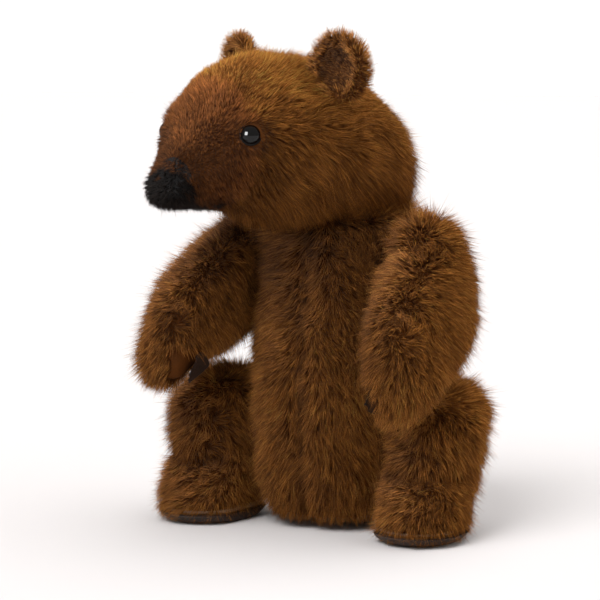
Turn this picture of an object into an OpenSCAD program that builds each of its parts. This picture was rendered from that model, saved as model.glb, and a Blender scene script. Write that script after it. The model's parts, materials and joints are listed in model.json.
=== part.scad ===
// Jointed plush bear, sitting. Six soft bodies (torso, head, two arms, two legs) are held
// together by five disc joints. The bear sits on z = 0 and faces -Y; its left side is +X.

/* [Torso] */
// Width of the torso across the belly, over the pile
torso_w = 112; // [106:1:118]
// Depth of the torso from belly to back, over the pile
torso_d = 116; // [110:1:122]
// Height of the neck joint above the seat
neck_h = 204; // [202:1:206]

/* [Head] */
// Width of the head across the cheeks, over the pile
head_w = 116; // [110:1:120]
// Turn of the head from straight ahead, towards the bear's right
head_turn = 25; // [0:1:40]
// Diameter of an eye
eye_d = 12; // [11:0.5:13]
// Diameter of an ear
ear_d = 43; // [40:1:45]

/* [Limbs] */
// Height of the shoulder joints above the seat
shoulder_h = 176; // [174:1:178]
// Distance of a shoulder joint's face from the middle of the torso
shoulder_x = 46; // [45:0.5:47]
// Slope of a shoulder joint's face
shoulder_slope = 8; // [6:1:9]
// How much further forward the right arm is held than the left
right_arm_lift = 9; // [4:1:11]
// Height of the hip joints above the seat
hip_h = 58; // [56:1:60]
// Turn-out of each foot
toe_out = 20; // [16:1:22]
// Turn of each hip joint's face
hip_turn = 8; // [6:1:10]

/* [Plush] */
// Thickness of the plush, backing and pile together
plush_t = 6; // [5:0.5:6.5]
// Thickness of the plush where a joint's disc squeezes it
squeezed_t = 2; // [1.8:0.1:2.4]
// Space between the faces of a joint
joint_gap = 0.4; // [0.3:0.1:0.6]

/* [Joint hardware] */
// Diameter of the neck joint's discs
neck_disc_d = 40; // [36:1:42]
// Diameter of the shoulder joints' discs
shoulder_disc_d = 36; // [32:1:38]
// Diameter of the hip joints' discs
hip_disc_d = 36; // [32:1:37]
// Thickness of a hardboard disc
disc_t = 3; // [2.5:0.5:3.5]
// Diameter of a joint bolt
bolt_d = 5; // [4:0.5:6]

/* [Hidden] */
$fn = 48;
SIDES = 24;                 // points round a soft form
SLICES = 12;                // rings along a soft form
STUFF_GAP = 0.2;            // stuffing to plush
RUN_FIT = 0.05;             // radial play of a bolt in a disc
FACE_FIT = 0.05;            // play between stacked hard faces
WASHER_D = 14;
WASHER_T = 1.2;
BOLT_HEAD_D = 9;
BOLT_HEAD_T = 3.4;
NUT_D = 10;
NUT_T = 4.4;
BOLT_END = 1;               // bolt past its nut
SKIN_HOLE = 1.2;            // bolt to the edge of the hole in the plush
SOLE_T = 7;                 // leather sole, flat below
BOARD_T = 2;
BIG = 400;                  // half-space block
ROOM = 0.4;                 // room round a hard piece in the soft parts, on the diameter
BASE_T = 4;                 // plush under the seat, flattened by the weight
HIP_CUT = 50;               // height above the hip to which the torso's side is flat
EYE = [43.6, -104.4, neck_h + 47];
EYE_TILT = 79;
EYE_TURN = -41;
EYE_DOME = 4.4;
EYE_DOME_IN = 0.3;          // step from the rim to the dome
EYE_SHANK = 11;
EYE_SHANK_D = 4;
EYE_RIM_T = 0.8;
EYE_WASHER_D = 13;
EYE_WASHER_Z = 1 - EYE_SHANK;
EAR = [53, -46, neck_h + 86];
EAR_TURN = 13;
EAR_T = 7;
EAR_DISH = 5;               // depth of the ear's hollow
LINING_T = 1.6;
EAR_ROOT = 18;              // ear's centre down to where it is sewn in
PALM = [76, -77, 91];
PALM_TILT = 104;
PALM_TURN = 160;
PALM_DEPTH = 14;
PALM_R = 16;
PALM_BACK_T = 2;
CLEAR = 40;                 // length of a cut that only has to go right through
OVER = 1;                   // overrun of a cut past a face
PELLET_R = 26;
PELLET_H = 18;

// Soft forms are lofts through stations [x, y, z, lean, half width, half depth];
// lean 0 lays a ring flat, lean 90 stands it up facing along Y.
tw = torso_w / 2;
td = torso_d / 2;
TORSO = [[0, 0, 0, 0, 0.62 * tw, 0.66 * td],
         [0, -3, 8, 0, 0.80 * tw, 0.84 * td],
         [0, -4, 40, 0, 0.96 * tw, 0.97 * td],
         [0, -4, 85, 0, tw, td],
         [0, -2, 130, 0, tw, 0.97 * td],
         [0, 2, shoulder_h, 0, 0.93 * tw, 0.83 * td],
         [0, 4, neck_h - joint_gap / 2, 0, 0.79 * tw, 0.69 * td]];

hw = head_w / 2;
HEAD = [[0, 38, neck_h + 24, 90, 0.30 * hw, 17],
        [0, 30, neck_h + 27, 90, 0.67 * hw, 32],
        [0, 8, neck_h + 34, 90, 0.90 * hw, 45],
        [0, -24, neck_h + 43, 90, 0.98 * hw, 51],
        [0, -58, neck_h + 47, 90, hw, 51],
        [0, -90, neck_h + 46, 90, 0.97 * hw, 49],
        [0, -110, neck_h + 40, 85, 0.80 * hw, 41],
        [0, -126, neck_h + 28, 78, 0.52 * hw, 28.5],
        [0, -138, neck_h + 20, 72, 0.38 * hw, 20],
        [0, -144, neck_h + 18, 70, 0.18 * hw, 10]];
MUZZLE_Y = -104;            // seam between head and muzzle
NOSE_Y = -131;              // seam between muzzle and nose

ARM = [[57, 2, 201, 0, 10, 14],
       [60, -1, 194, 0, 19, 26],
       [66, -11, 176, 0, 25, 39],
       [71, -27, 152, 0, 29, 54],
       [74, -38, 130, 0, 30, 58],
       [76, -51, 112, 0, 28, 47],
       [77, -69, 98, 0, 25, 29],
       [77, -79, 85, 0, 19, 18],
       [77, -81, 77, 0, 9, 9]];

// The leg's own frame has its origin under the hip, with the toes towards -Y.
LEG_X = 71;
LEG_Y = -4;
LEG_INNER = -26;            // flat inner side, from the leg's middle
HIP_Y = -2;                 // hip joint, behind the leg's origin
LEG = [[-8, -32, 0, 0, 25, 30],
       [-8, -32, 8, 0, 33, 40],
       [-6, -27, 26, 0, 32, 41],
       [-1, -15, 50, 0, 33, 43],
       [1, -11, 74, 0, 34, 43],
       [0, -6, 91, 0, 29, 34],
       [0, -2, 99, 0, 13, 16]];

// ---------- lofts ----------
function spline(a, b, c, d, t) =
    0.5 * (2 * b + (c - a) * t + (2 * a - 5 * b + 4 * c - d) * t * t
           + (3 * b - a - 3 * c + d) * t * t * t);
function station(list, s) =
    let (last = len(list) - 1, i = min(floor(s), last - 1))
    spline(list[max(i - 1, 0)], list[i], list[i + 1], list[min(i + 2, last)], s - i);
function ring(st, sides) =
    [for (k = [0:sides - 1]) let (a = 360 * k / sides, u = st[4] * cos(a), v = st[5] * sin(a))
        [st[0] + u, st[1] + v * cos(st[3]), st[2] + v * sin(st[3])]];
// Moves the walls in by side, and the two ends by bottom and top.
function inset(list, side, bottom, top) =
    let (last = len(list) - 1)
    [for (i = [0:last]) let (st = list[i], flat = st[3] == 0,
                             run = i == 0 ? bottom : i == last ? -top : 0)
        [st[0], st[1] + (flat ? 0 : -run), st[2] + (flat ? run * sign(list[last][2] - list[0][2]) : 0),
         st[3], max(st[4] - side, 3), max(st[5] - side, 3)]];
module loft(list, sides = SIDES, slices = SLICES) {
    last = len(list) - 1;
    rings = [for (k = [0:slices]) ring(station(list, last * k / slices), sides)];
    points = [for (r = rings) each r];
    up = list[0][3] == 0 && list[last][2] > list[0][2];
    walls = [for (k = [0:slices - 1], j = [0:sides - 1]) let (n = (j + 1) % sides)
        each [[k * sides + j, k * sides + n, (k + 1) * sides + n],
              [k * sides + j, (k + 1) * sides + n, (k + 1) * sides + j]]];
    caps = [[for (j = [sides - 1:-1:0]) j], [for (j = [0:sides - 1]) slices * sides + j]];
    faces = concat(walls, caps);
    turned = [for (f = faces) [for (j = [len(f) - 1:-1:0]) f[j]]];
    polyhedron(points, up || list[0][3] != 0 ? turned : faces);
}

// ---------- placing ----------
module on_side(s) { if (s < 0) mirror([1, 0, 0]) children(); else children(); }
module head_place() { rotate([0, 0, -head_turn]) children(); }
module leg_place(s) { on_side(s) translate([LEG_X, LEG_Y, 0]) rotate([0, 0, hip_turn]) children(); }
module arm_place(s) {
    if (s < 0)
        translate([-shoulder_x, 0, shoulder_h])
        rotate(-right_arm_lift, [cos(shoulder_slope), 0, -sin(shoulder_slope)])
        translate([shoulder_x, 0, -shoulder_h])
        mirror([1, 0, 0]) children();
    else children();
}
// Joint faces: origin on the joint, +Z from the torso into the limb or head.
module neck_face() { translate([0, 0, neck_h]) children(); }
module shoulder_face() {
    translate([shoulder_x, 0, shoulder_h]) rotate([0, 90 - shoulder_slope, 0]) children();
}
module hip_face() { translate([LEG_INNER, HIP_Y, hip_h]) rotate([0, 90, 0]) children(); }
module above(z) { translate([-BIG / 2, -BIG / 2, z]) cube([BIG, BIG, BIG]); }
module below(z) { translate([-BIG / 2, -BIG / 2, z - BIG]) cube([BIG, BIG, BIG]); }
module ahead(y) { translate([-BIG / 2, y - BIG, -BIG / 2]) cube([BIG, BIG, 2 * BIG]); }
module behind(y) { translate([-BIG / 2, y, -BIG / 2]) cube([BIG, BIG, 2 * BIG]); }

// ---------- joint hardware, on a joint's face ----------
half_gap = joint_gap / 2;
disc_z = half_gap + squeezed_t + FACE_FIT;
washer_z = disc_z + disc_t + FACE_FIT;
stack_z = washer_z + WASHER_T + FACE_FIT;
module drilled(d, t, z) {
    translate([0, 0, z]) difference() {
        cylinder(d = d, h = t);
        translate([0, 0, -OVER]) cylinder(r = bolt_d / 2 + RUN_FIT, h = t + 2 * OVER);
    }
}
module limb_disc(d) { color("saddlebrown") drilled(d, disc_t, disc_z); }
module torso_disc(d) { color("saddlebrown") drilled(d, disc_t, -disc_z - disc_t); }
module limb_washer() { color("silver") drilled(WASHER_D, WASHER_T, washer_z); }
module torso_washer() { color("silver") drilled(WASHER_D, WASHER_T, -washer_z - WASHER_T); }
module bolt() {
    color("gray") {
        translate([0, 0, stack_z]) cylinder(d = BOLT_HEAD_D, h = BOLT_HEAD_T, $fn = 6);
        translate([0, 0, -stack_z - NUT_T - BOLT_END])
            cylinder(d = bolt_d, h = 2 * stack_z + NUT_T + BOLT_END + OVER);
    }
}
module nut() {
    color("dimgray") translate([0, 0, -stack_z - NUT_T]) difference() {
        cylinder(d = NUT_D, h = NUT_T, $fn = 6);
        translate([0, 0, -OVER]) cylinder(r = bolt_d / 2 + FACE_FIT, h = NUT_T + 2 * OVER);
    }
}
// Room that the hardware takes in the soft parts; way is 1 in the limb and -1 in the torso.
module hardware_room(d, way) {
    mirror([0, 0, way > 0 ? 0 : 1]) {
        translate([0, 0, half_gap + squeezed_t]) cylinder(d = d + ROOM, h = disc_t + 2 * FACE_FIT);
        translate([0, 0, disc_z])
            cylinder(d = WASHER_D + ROOM, h = stack_z + NUT_T + 2 * BOLT_END - disc_z);
    }
}
module bolt_hole() { translate([0, 0, -CLEAR / 2]) cylinder(r = bolt_d / 2 + SKIN_HOLE, h = CLEAR); }

// ---------- torso ----------
// The torso's form between its joint faces, each face moved in by extra.
module torso_form(list, extra) {
    cut = -half_gap - extra;
    difference() {
        loft(list);
        for (s = [-1, 1]) {
            on_side(s) shoulder_face() above(cut);
            leg_place(s) hip_face() translate([-HIP_CUT, -BIG / 2, cut]) cube([BIG, BIG, BIG]);
        }
    }
}
module torso_joints() {
    neck_face() children(0);
    for (s = [-1, 1]) {
        on_side(s) shoulder_face() children(1);
        leg_place(s) hip_face() children(2);
    }
}
module torso_rooms() {
    torso_joints() {
        hardware_room(neck_disc_d, -1);
        hardware_room(shoulder_disc_d, -1);
        hardware_room(hip_disc_d, -1);
    }
}
module torso_skin() {
    color("saddlebrown") difference() {
        torso_form(TORSO, 0);
        torso_form(inset(TORSO, plush_t, BASE_T, squeezed_t), squeezed_t);
        torso_rooms();
        torso_joints() { bolt_hole(); bolt_hole(); bolt_hole(); }
    }
}
module pellet_form(extra) {
    translate([0, 0, BASE_T + 1 - extra]) cylinder(r = PELLET_R + extra, h = PELLET_H + 2 * extra);
}
module torso_stuffing() {
    gap = squeezed_t + STUFF_GAP;
    color("white") difference() {
        torso_form(inset(TORSO, plush_t + STUFF_GAP, BASE_T + STUFF_GAP, gap), gap);
        torso_rooms();
        pellet_form(STUFF_GAP);
    }
}
module pellet_bag() { color("wheat") pellet_form(0); }
module torso_washers() { torso_joints() { torso_washer(); torso_washer(); torso_washer(); } }

// ---------- head ----------
module head_form(list, extra) {
    intersection() {
        loft(list);
        above(neck_h + half_gap + extra);
    }
}
module head_core(extra) {
    t = plush_t + extra;
    head_form(inset(HEAD, t, t, t), squeezed_t + extra);
}
module eye_place(s) {
    head_place() on_side(s) translate(EYE) rotate([0, EYE_TILT, EYE_TURN]) children();
}
module ear_place(s) {
    head_place() on_side(s) translate(EAR) rotate([0, 0, EAR_TURN]) rotate([90, 0, 0]) children();
}
module eye_room() {
    cylinder(d = eye_d + ROOM, h = CLEAR);
    translate([0, 0, -EYE_SHANK - ROOM]) cylinder(d = EYE_SHANK_D + ROOM, h = EYE_SHANK + OVER);
    translate([0, 0, EYE_WASHER_Z - ROOM / 4]) cylinder(d = EYE_WASHER_D + ROOM, h = WASHER_T + ROOM / 2);
}
module ear_room() {
    intersection() {
        translate([0, 0, -EAR_T - ROOM / 4]) cylinder(d = ear_d + ROOM / 2, h = EAR_T + 2);
        translate([-BIG / 2, -EAR_ROOT - ROOM / 4, -BIG / 2]) cube([BIG, BIG, BIG]);
    }
}
module head_rooms() {
    for (s = [-1, 1]) {
        eye_place(s) eye_room();
        ear_place(s) ear_room();
    }
    head_place() neck_face() hardware_room(neck_disc_d, 1);
}
module head_skin() {
    color("peru") difference() {
        head_place() intersection() { head_form(HEAD, 0); behind(MUZZLE_Y); }
        head_place() head_core(0);
        head_rooms();
        neck_face() bolt_hole();
    }
}
module head_stuffing() {
    color("white") difference() {
        head_place() intersection() { head_core(STUFF_GAP); behind(NOSE_Y + STUFF_GAP); }
        head_rooms();
    }
}
module muzzle_skin() {
    color("sienna") head_place() difference() {
        intersection() { head_form(HEAD, 0); ahead(MUZZLE_Y); behind(NOSE_Y); }
        head_core(0);
        rotate([0, 0, head_turn]) head_rooms();
    }
}
module nose() { color("black") head_place() intersection() { head_form(HEAD, 0); ahead(NOSE_Y); } }
module eye(s) {
    r = eye_d / 2;
    color("black") eye_place(s) {
        rotate_extrude() polygon([[0, 0], [r, 0], [r, EYE_RIM_T],
            for (a = [0:10:90]) [(r - EYE_DOME_IN) * cos(a), EYE_RIM_T + EYE_DOME * sin(a)]]);
        translate([0, 0, -EYE_SHANK]) cylinder(d = EYE_SHANK_D, h = EYE_SHANK + EYE_RIM_T / 2);
    }
}
module eye_washer(s) {
    color("white") eye_place(s) translate([0, 0, EYE_WASHER_Z]) difference() {
        cylinder(d = EYE_WASHER_D, h = WASHER_T);
        translate([0, 0, -OVER]) cylinder(d = EYE_SHANK_D + 2 * FACE_FIT, h = WASHER_T + 2 * OVER);
    }
}
module ear_root() { translate([-BIG / 2, -EAR_ROOT, -BIG / 2]) cube([BIG, BIG, BIG]); }
// A dished disc of plush, its hollow towards +Z, cut flat where it is sewn into the head.
module ear_back(s) {
    r = ear_d / 2;
    rim = EAR_T / 2;
    dish_r = r - EAR_T;
    color("peru") ear_place(s) intersection() {
        rotate_extrude() polygon([[0, -EAR_T], [r - rim, -EAR_T],
            for (a = [-75:15:90]) [r - rim + rim * cos(a), rim * sin(a) - rim],
            [dish_r, -EAR_DISH / 3], [dish_r - 2, 0.6 - EAR_DISH], [0, -EAR_DISH]]);
        ear_root();
    }
}
module ear_lining(s) {
    r = ear_d / 2 - EAR_T - 2;
    low = FACE_FIT - EAR_DISH;
    color("saddlebrown") ear_place(s) intersection() {
        rotate_extrude() polygon([[0, low], [r, low + 0.6], [r, low + 0.6 + LINING_T],
            [0.6 * r, low + LINING_T], [0, low + LINING_T]]);
        ear_root();
    }
}

// ---------- arms ----------
module arm_form(list, extra) {
    difference() {
        loft(list);
        shoulder_face() below(half_gap + extra);
    }
}
module palm_face() { translate(PALM) rotate([0, PALM_TILT, PALM_TURN]) children(); }
module palm_room(extra) {
    palm_face() translate([0, 0, PALM_DEPTH - extra]) cylinder(r = PALM_R + extra, h = CLEAR);
}
module arm_skin(s) {
    color("saddlebrown") arm_place(s) difference() {
        arm_form(ARM, 0);
        difference() {
            arm_form(inset(ARM, plush_t, plush_t, plush_t), squeezed_t);
            palm_room(PALM_BACK_T);
        }
        palm_room(0);
        shoulder_face() { bolt_hole(); hardware_room(shoulder_disc_d, 1); }
    }
}
module arm_stuffing(s) {
    t = plush_t + STUFF_GAP;
    color("white") arm_place(s) difference() {
        arm_form(inset(ARM, t, t, t), squeezed_t + STUFF_GAP);
        palm_room(PALM_BACK_T + STUFF_GAP);
        shoulder_face() hardware_room(shoulder_disc_d, 1);
    }
}
module palm_pad(s) {
    color("#2b1a12") arm_place(s) intersection() {
        arm_form(ARM, 0);
        palm_face() translate([0, 0, PALM_DEPTH + FACE_FIT]) cylinder(r = PALM_R - FACE_FIT, h = CLEAR);
    }
}

// ---------- legs ----------
module leg_form(list, extra) {
    difference() {
        rotate([0, 0, toe_out - hip_turn]) loft(list);
        hip_face() below(half_gap + extra);
    }
}
module leg_core(extra) {
    t = plush_t + extra;
    leg_form(inset(LEG, t, 0, t), squeezed_t + extra);
}
module leg_skin(s) {
    color("saddlebrown") leg_place(s) difference() {
        intersection() { leg_form(LEG, 0); above(SOLE_T); }
        leg_core(0);
        hip_face() { bolt_hole(); hardware_room(hip_disc_d, 1); }
    }
}
module leg_stuffing(s) {
    color("white") leg_place(s) difference() {
        intersection() { leg_core(STUFF_GAP); above(SOLE_T + BOARD_T + STUFF_GAP); }
        hip_face() hardware_room(hip_disc_d, 1);
    }
}
module sole_pad(s) {
    color("#2b1a12") leg_place(s) intersection() { leg_form(LEG, 0); below(SOLE_T); }
}
module sole_board(s) {
    color("tan") leg_place(s) intersection() {
        leg_core(STUFF_GAP);
        above(SOLE_T + FACE_FIT);
        below(SOLE_T + BOARD_T);
    }
}

torso_skin();
torso_stuffing();
pellet_bag();
neck_face() torso_disc(neck_disc_d);  // neck_disc_torso
torso_washers();
head_skin();
head_stuffing();
muzzle_skin();
nose();
neck_face() limb_disc(neck_disc_d);  // neck_disc_head
neck_face() limb_washer();  // neck_washer_head
neck_face() bolt();  // neck_bolt
neck_face() nut();  // neck_nut
for (side = [["left", 1], ["right", -1]]) {
    name = side[0];
    s = side[1];
    on_side(s) shoulder_face() torso_disc(shoulder_disc_d);
    leg_place(s) hip_face() torso_disc(hip_disc_d);
    eye(s);
    eye_washer(s);
    ear_back(s);
    ear_lining(s);
    arm_skin(s);
    arm_stuffing(s);
    palm_pad(s);
    arm_place(s) shoulder_face() limb_disc(shoulder_disc_d);
    arm_place(s) shoulder_face() limb_washer();
    arm_place(s) shoulder_face() bolt();
    arm_place(s) shoulder_face() nut();
    leg_skin(s);
    leg_stuffing(s);
    sole_pad(s);
    sole_board(s);
    leg_place(s) hip_face() limb_disc(hip_disc_d);
    leg_place(s) hip_face() limb_washer();
    leg_place(s) hip_face() bolt();
    leg_place(s) hip_face() nut();
}
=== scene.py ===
import json
import logging
import math
from dataclasses import dataclass, field
from enum import Enum
from typing import Callable

import bpy
import numpy as np
from mathutils import Matrix, Vector
from mathutils.kdtree import KDTree

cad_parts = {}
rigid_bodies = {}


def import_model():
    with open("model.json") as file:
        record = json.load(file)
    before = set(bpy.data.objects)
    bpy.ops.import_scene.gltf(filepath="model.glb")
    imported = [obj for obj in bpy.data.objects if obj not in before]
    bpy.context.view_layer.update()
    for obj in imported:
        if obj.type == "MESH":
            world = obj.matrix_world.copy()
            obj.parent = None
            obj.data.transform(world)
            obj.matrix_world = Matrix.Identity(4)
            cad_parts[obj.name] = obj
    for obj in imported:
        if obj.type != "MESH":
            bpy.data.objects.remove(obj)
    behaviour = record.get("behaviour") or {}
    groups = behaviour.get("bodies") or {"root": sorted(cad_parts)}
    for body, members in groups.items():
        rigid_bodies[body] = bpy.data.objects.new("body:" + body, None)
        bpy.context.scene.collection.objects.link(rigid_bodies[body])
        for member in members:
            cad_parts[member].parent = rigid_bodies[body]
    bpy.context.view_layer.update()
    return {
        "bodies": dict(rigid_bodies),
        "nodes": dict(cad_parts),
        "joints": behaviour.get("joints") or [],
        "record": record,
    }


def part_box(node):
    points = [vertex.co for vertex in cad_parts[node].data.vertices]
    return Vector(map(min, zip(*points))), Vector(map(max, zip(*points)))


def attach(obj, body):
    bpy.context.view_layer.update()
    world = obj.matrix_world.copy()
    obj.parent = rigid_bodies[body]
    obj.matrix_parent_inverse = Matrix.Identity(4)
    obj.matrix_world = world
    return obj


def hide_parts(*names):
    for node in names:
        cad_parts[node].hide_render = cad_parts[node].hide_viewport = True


LOG = logging.getLogger("bear")
MM = 0.001
FLOOR_GAP = 0.4 * MM
STUFFING_PRESSURE = 4.0
CLOTH_FRAMES = 20
Array = np.ndarray


class Side(Enum):
    """The bear's own left and right."""

    LEFT = 1
    RIGHT = -1

    @property
    def word(self) -> str:
        """The side's name as the frame's nodes use it."""
        return self.name.lower()


# ---------------------------------------------------------------- small helpers


def unit(v: Array) -> Array:
    """Scale rows of vectors to length one."""
    return v / np.maximum(np.linalg.norm(v, axis=-1, keepdims=True), 1e-12)


def smooth_step(low: float, high: float, x: Array) -> Array:
    """Rise from 0 at low to 1 at high without corners."""
    t = np.clip((x - low) / (high - low), 0.0, 1.0)
    return t * t * (3.0 - 2.0 * t)


def select_only(obj: bpy.types.Object) -> None:
    """Deselect everything, then select obj and make it active."""
    for other in bpy.context.selected_objects:
        other.select_set(False)
    obj.select_set(True)
    bpy.context.view_layer.objects.active = obj


def apply_modifiers(obj: bpy.types.Object) -> None:
    """Apply every modifier of obj in order."""
    select_only(obj)
    for modifier in list(obj.modifiers):
        bpy.ops.object.modifier_apply(modifier=modifier.name)


def link_mesh(name: str, mesh: bpy.types.Mesh) -> bpy.types.Object:
    """Put a mesh into the scene as an object at the origin."""
    obj = bpy.data.objects.new(name, mesh)
    bpy.context.scene.collection.objects.link(obj)
    return obj


def mesh_from_arrays(name: str, points: Array, faces: Array) -> bpy.types.Mesh:
    """Make a mesh quickly from equal-sided faces.

    Args:
        name: The mesh's name.
        points: N by 3 positions.
        faces: M by K vertex numbers.

    Returns:
        The mesh, smooth shaded.
    """
    mesh = bpy.data.meshes.new(name)
    sides = faces.shape[1]
    mesh.vertices.add(len(points))
    mesh.vertices.foreach_set("co", points.astype(np.float32).ravel())
    mesh.loops.add(faces.size)
    mesh.loops.foreach_set("vertex_index", faces.astype(np.int32).ravel())
    mesh.polygons.add(len(faces))
    mesh.polygons.foreach_set("loop_start", np.arange(0, faces.size, sides, dtype=np.int32))
    mesh.polygons.foreach_set("use_smooth", np.ones(len(faces), dtype=bool))
    mesh.update(calc_edges=True)
    return mesh


def read_points(mesh: bpy.types.Mesh) -> Array:
    """Return the mesh's vertices as an N by 3 array."""
    out = np.empty(len(mesh.vertices) * 3, dtype=np.float32)
    mesh.vertices.foreach_get("co", out)
    return out.reshape(-1, 3).astype(np.float64)


def write_points(mesh: bpy.types.Mesh, points: Array) -> None:
    """Write an N by 3 array back to the mesh's vertices."""
    mesh.vertices.foreach_set("co", points.astype(np.float32).ravel())
    mesh.update()


def read_normals(mesh: bpy.types.Mesh) -> Array:
    """Return the mesh's vertex normals as an N by 3 array."""
    out = np.empty(len(mesh.vertices) * 3, dtype=np.float32)
    mesh.vertex_normals.foreach_get("vector", out)
    return out.reshape(-1, 3).astype(np.float64)


def read_triangles(mesh: bpy.types.Mesh) -> Array:
    """Return the mesh's triangles as an M by 3 array of vertex numbers."""
    mesh.calc_loop_triangles()
    out = np.empty(len(mesh.loop_triangles) * 3, dtype=np.int32)
    mesh.loop_triangles.foreach_get("vertices", out)
    return out.reshape(-1, 3)


def node_centre(name: str) -> Array:
    """Return the middle of a frame node's box."""
    low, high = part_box(name)
    return (np.array(low) + np.array(high)) / 2


# ---------------------------------------------------------------- finishes


def own_name(name: str) -> str:
    """Return a material name that no slot of the frame can carry."""
    return f"look_{name}"


@dataclass(frozen=True)
class Finish:
    """A procedural material built on one Principled shader."""

    name: str
    colour: tuple[float, float, float]
    roughness: float = 0.6
    metallic: float = 0.0
    specular: float = 0.5
    grain_scale: float = 400.0
    grain_depth: float = 0.15
    spread: float = 0.25
    wander: float = 0.09

    def shader(self, material: bpy.types.Material) -> bpy.types.ShaderNode:
        """Set the shader's constant values and return it."""
        shader = material.node_tree.nodes["Principled BSDF"]
        shader.inputs["Metallic"].default_value = self.metallic
        shader.inputs["Roughness"].default_value = self.roughness
        shader.inputs["Specular IOR Level"].default_value = self.specular
        return shader

    def material(self) -> bpy.types.Material:
        """Build the material once: mottled colour, grain in roughness and bump."""
        made = bpy.data.materials.get(own_name(self.name))
        if made:
            return made
        made = bpy.data.materials.new(own_name(self.name))
        made.use_nodes = True
        tree = made.node_tree
        shader = self.shader(made)
        place = tree.nodes.new("ShaderNodeTexCoord")
        fine = tree.nodes.new("ShaderNodeTexNoise")
        fine.inputs["Scale"].default_value = self.grain_scale
        fine.inputs["Detail"].default_value = 4.0
        broad = tree.nodes.new("ShaderNodeTexNoise")
        broad.inputs["Scale"].default_value = self.grain_scale / 12
        broad.inputs["Detail"].default_value = 3.0
        mixed = tree.nodes.new("ShaderNodeMath")
        mixed.operation = "MULTIPLY_ADD"
        mixed.inputs[1].default_value = 0.5
        ramp = tree.nodes.new("ShaderNodeValToRGB")
        dark = [c * (1 - self.spread) for c in self.colour]
        light = [min(1.0, c * (1 + self.spread)) for c in self.colour]
        ramp.color_ramp.elements[0].position = 0.3
        ramp.color_ramp.elements[0].color = (*dark, 1)
        ramp.color_ramp.elements[1].position = 0.75
        ramp.color_ramp.elements[1].color = (*light, 1)
        bump = tree.nodes.new("ShaderNodeBump")
        bump.inputs["Strength"].default_value = self.grain_depth
        bump.inputs["Distance"].default_value = 0.0006
        rough = tree.nodes.new("ShaderNodeMapRange")
        rough.inputs["To Min"].default_value = max(0.0, self.roughness - self.wander)
        rough.inputs["To Max"].default_value = min(1.0, self.roughness + self.wander)
        join = tree.links.new
        join(place.outputs["Object"], fine.inputs["Vector"])
        join(place.outputs["Object"], broad.inputs["Vector"])
        join(broad.outputs["Fac"], mixed.inputs[0])
        half = tree.nodes.new("ShaderNodeMath")
        half.operation = "MULTIPLY"
        half.inputs[1].default_value = 0.5
        join(fine.outputs["Fac"], half.inputs[0])
        join(half.outputs[0], mixed.inputs[2])
        join(mixed.outputs[0], ramp.inputs["Fac"])
        join(ramp.outputs["Color"], shader.inputs["Base Color"])
        join(fine.outputs["Fac"], rough.inputs["Value"])
        join(rough.outputs["Result"], shader.inputs["Roughness"])
        join(fine.outputs["Fac"], bump.inputs["Height"])
        join(bump.outputs["Normal"], shader.inputs["Normal"])
        return made


@dataclass(frozen=True)
class PileFinish:
    """The material of strands, coloured by the tone that each strand carries."""

    name: str
    roughness: float = 0.6
    specular: float = 0.09

    def material(self) -> bpy.types.Material:
        """Build the material once, reading the strands' colour attribute."""
        made = bpy.data.materials.get(own_name(self.name))
        if made:
            return made
        made = bpy.data.materials.new(own_name(self.name))
        made.use_nodes = True
        tree = made.node_tree
        shader = tree.nodes["Principled BSDF"]
        shader.inputs["Roughness"].default_value = self.roughness
        shader.inputs["Specular IOR Level"].default_value = self.specular
        tone = tree.nodes.new("ShaderNodeAttribute")
        tone.attribute_name = "tone"
        place = tree.nodes.new("ShaderNodeTexCoord")
        mottle = tree.nodes.new("ShaderNodeTexNoise")
        mottle.inputs["Scale"].default_value = 90.0
        ramp = tree.nodes.new("ShaderNodeValToRGB")
        ramp.color_ramp.elements[0].position = 0.3
        ramp.color_ramp.elements[0].color = (0.72, 0.70, 0.68, 1)
        ramp.color_ramp.elements[1].position = 0.7
        ramp.color_ramp.elements[1].color = (1.0, 1.0, 1.0, 1)
        blend = tree.nodes.new("ShaderNodeMix")
        blend.data_type = "RGBA"
        blend.blend_type = "MULTIPLY"
        blend.inputs["Factor"].default_value = 1.0
        join = tree.links.new
        join(place.outputs["Object"], mottle.inputs["Vector"])
        join(mottle.outputs["Fac"], ramp.inputs["Fac"])
        join(tone.outputs["Color"], blend.inputs["A"])
        join(ramp.outputs["Color"], blend.inputs["B"])
        join(blend.outputs["Result"], shader.inputs["Base Color"])
        return made


BACKING = Finish("plush_backing", (0.075, 0.024, 0.005), 0.9, specular=0.05, grain_scale=900)
DARK_BACKING = Finish("nose_backing", (0.006, 0.005, 0.005), 0.8, specular=0.2, grain_scale=900)
LEATHER = Finish("pad_leather", (0.022, 0.011, 0.007), 0.6, specular=0.25, grain_scale=520,
                 grain_depth=0.5, spread=0.3)
EYE_BLACK = Finish("eye_black", (0.002, 0.0017, 0.0016), 0.03, specular=0.3, grain_scale=60,
                   grain_depth=0.0, spread=0.1, wander=0.01)
EYE_RIM = Finish("eye_rim", (0.006, 0.004, 0.003), 0.6, specular=0.1, grain_scale=600)
FIBRE = Finish("fibre_filling", (0.82, 0.80, 0.76), 0.95, specular=0.1, grain_scale=260, grain_depth=0.6)
CALICO = Finish("pellet_calico", (0.62, 0.55, 0.42), 0.9, specular=0.1, grain_scale=700, grain_depth=0.4)
HARDBOARD = Finish("hardboard", (0.26, 0.15, 0.08), 0.7, grain_scale=350, grain_depth=0.3)
STEEL = Finish("zinc_steel", (0.56, 0.57, 0.58), 0.34, metallic=1.0, grain_scale=800, grain_depth=0.1,
               spread=0.12)
PLASTIC = Finish("washer_plastic", (0.8, 0.8, 0.77), 0.45, grain_scale=500, grain_depth=0.08, spread=0.05)
PILE = PileFinish("plush_pile")
SHORT_PILE = PileFinish("short_pile", roughness=0.65, specular=0.1)
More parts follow.
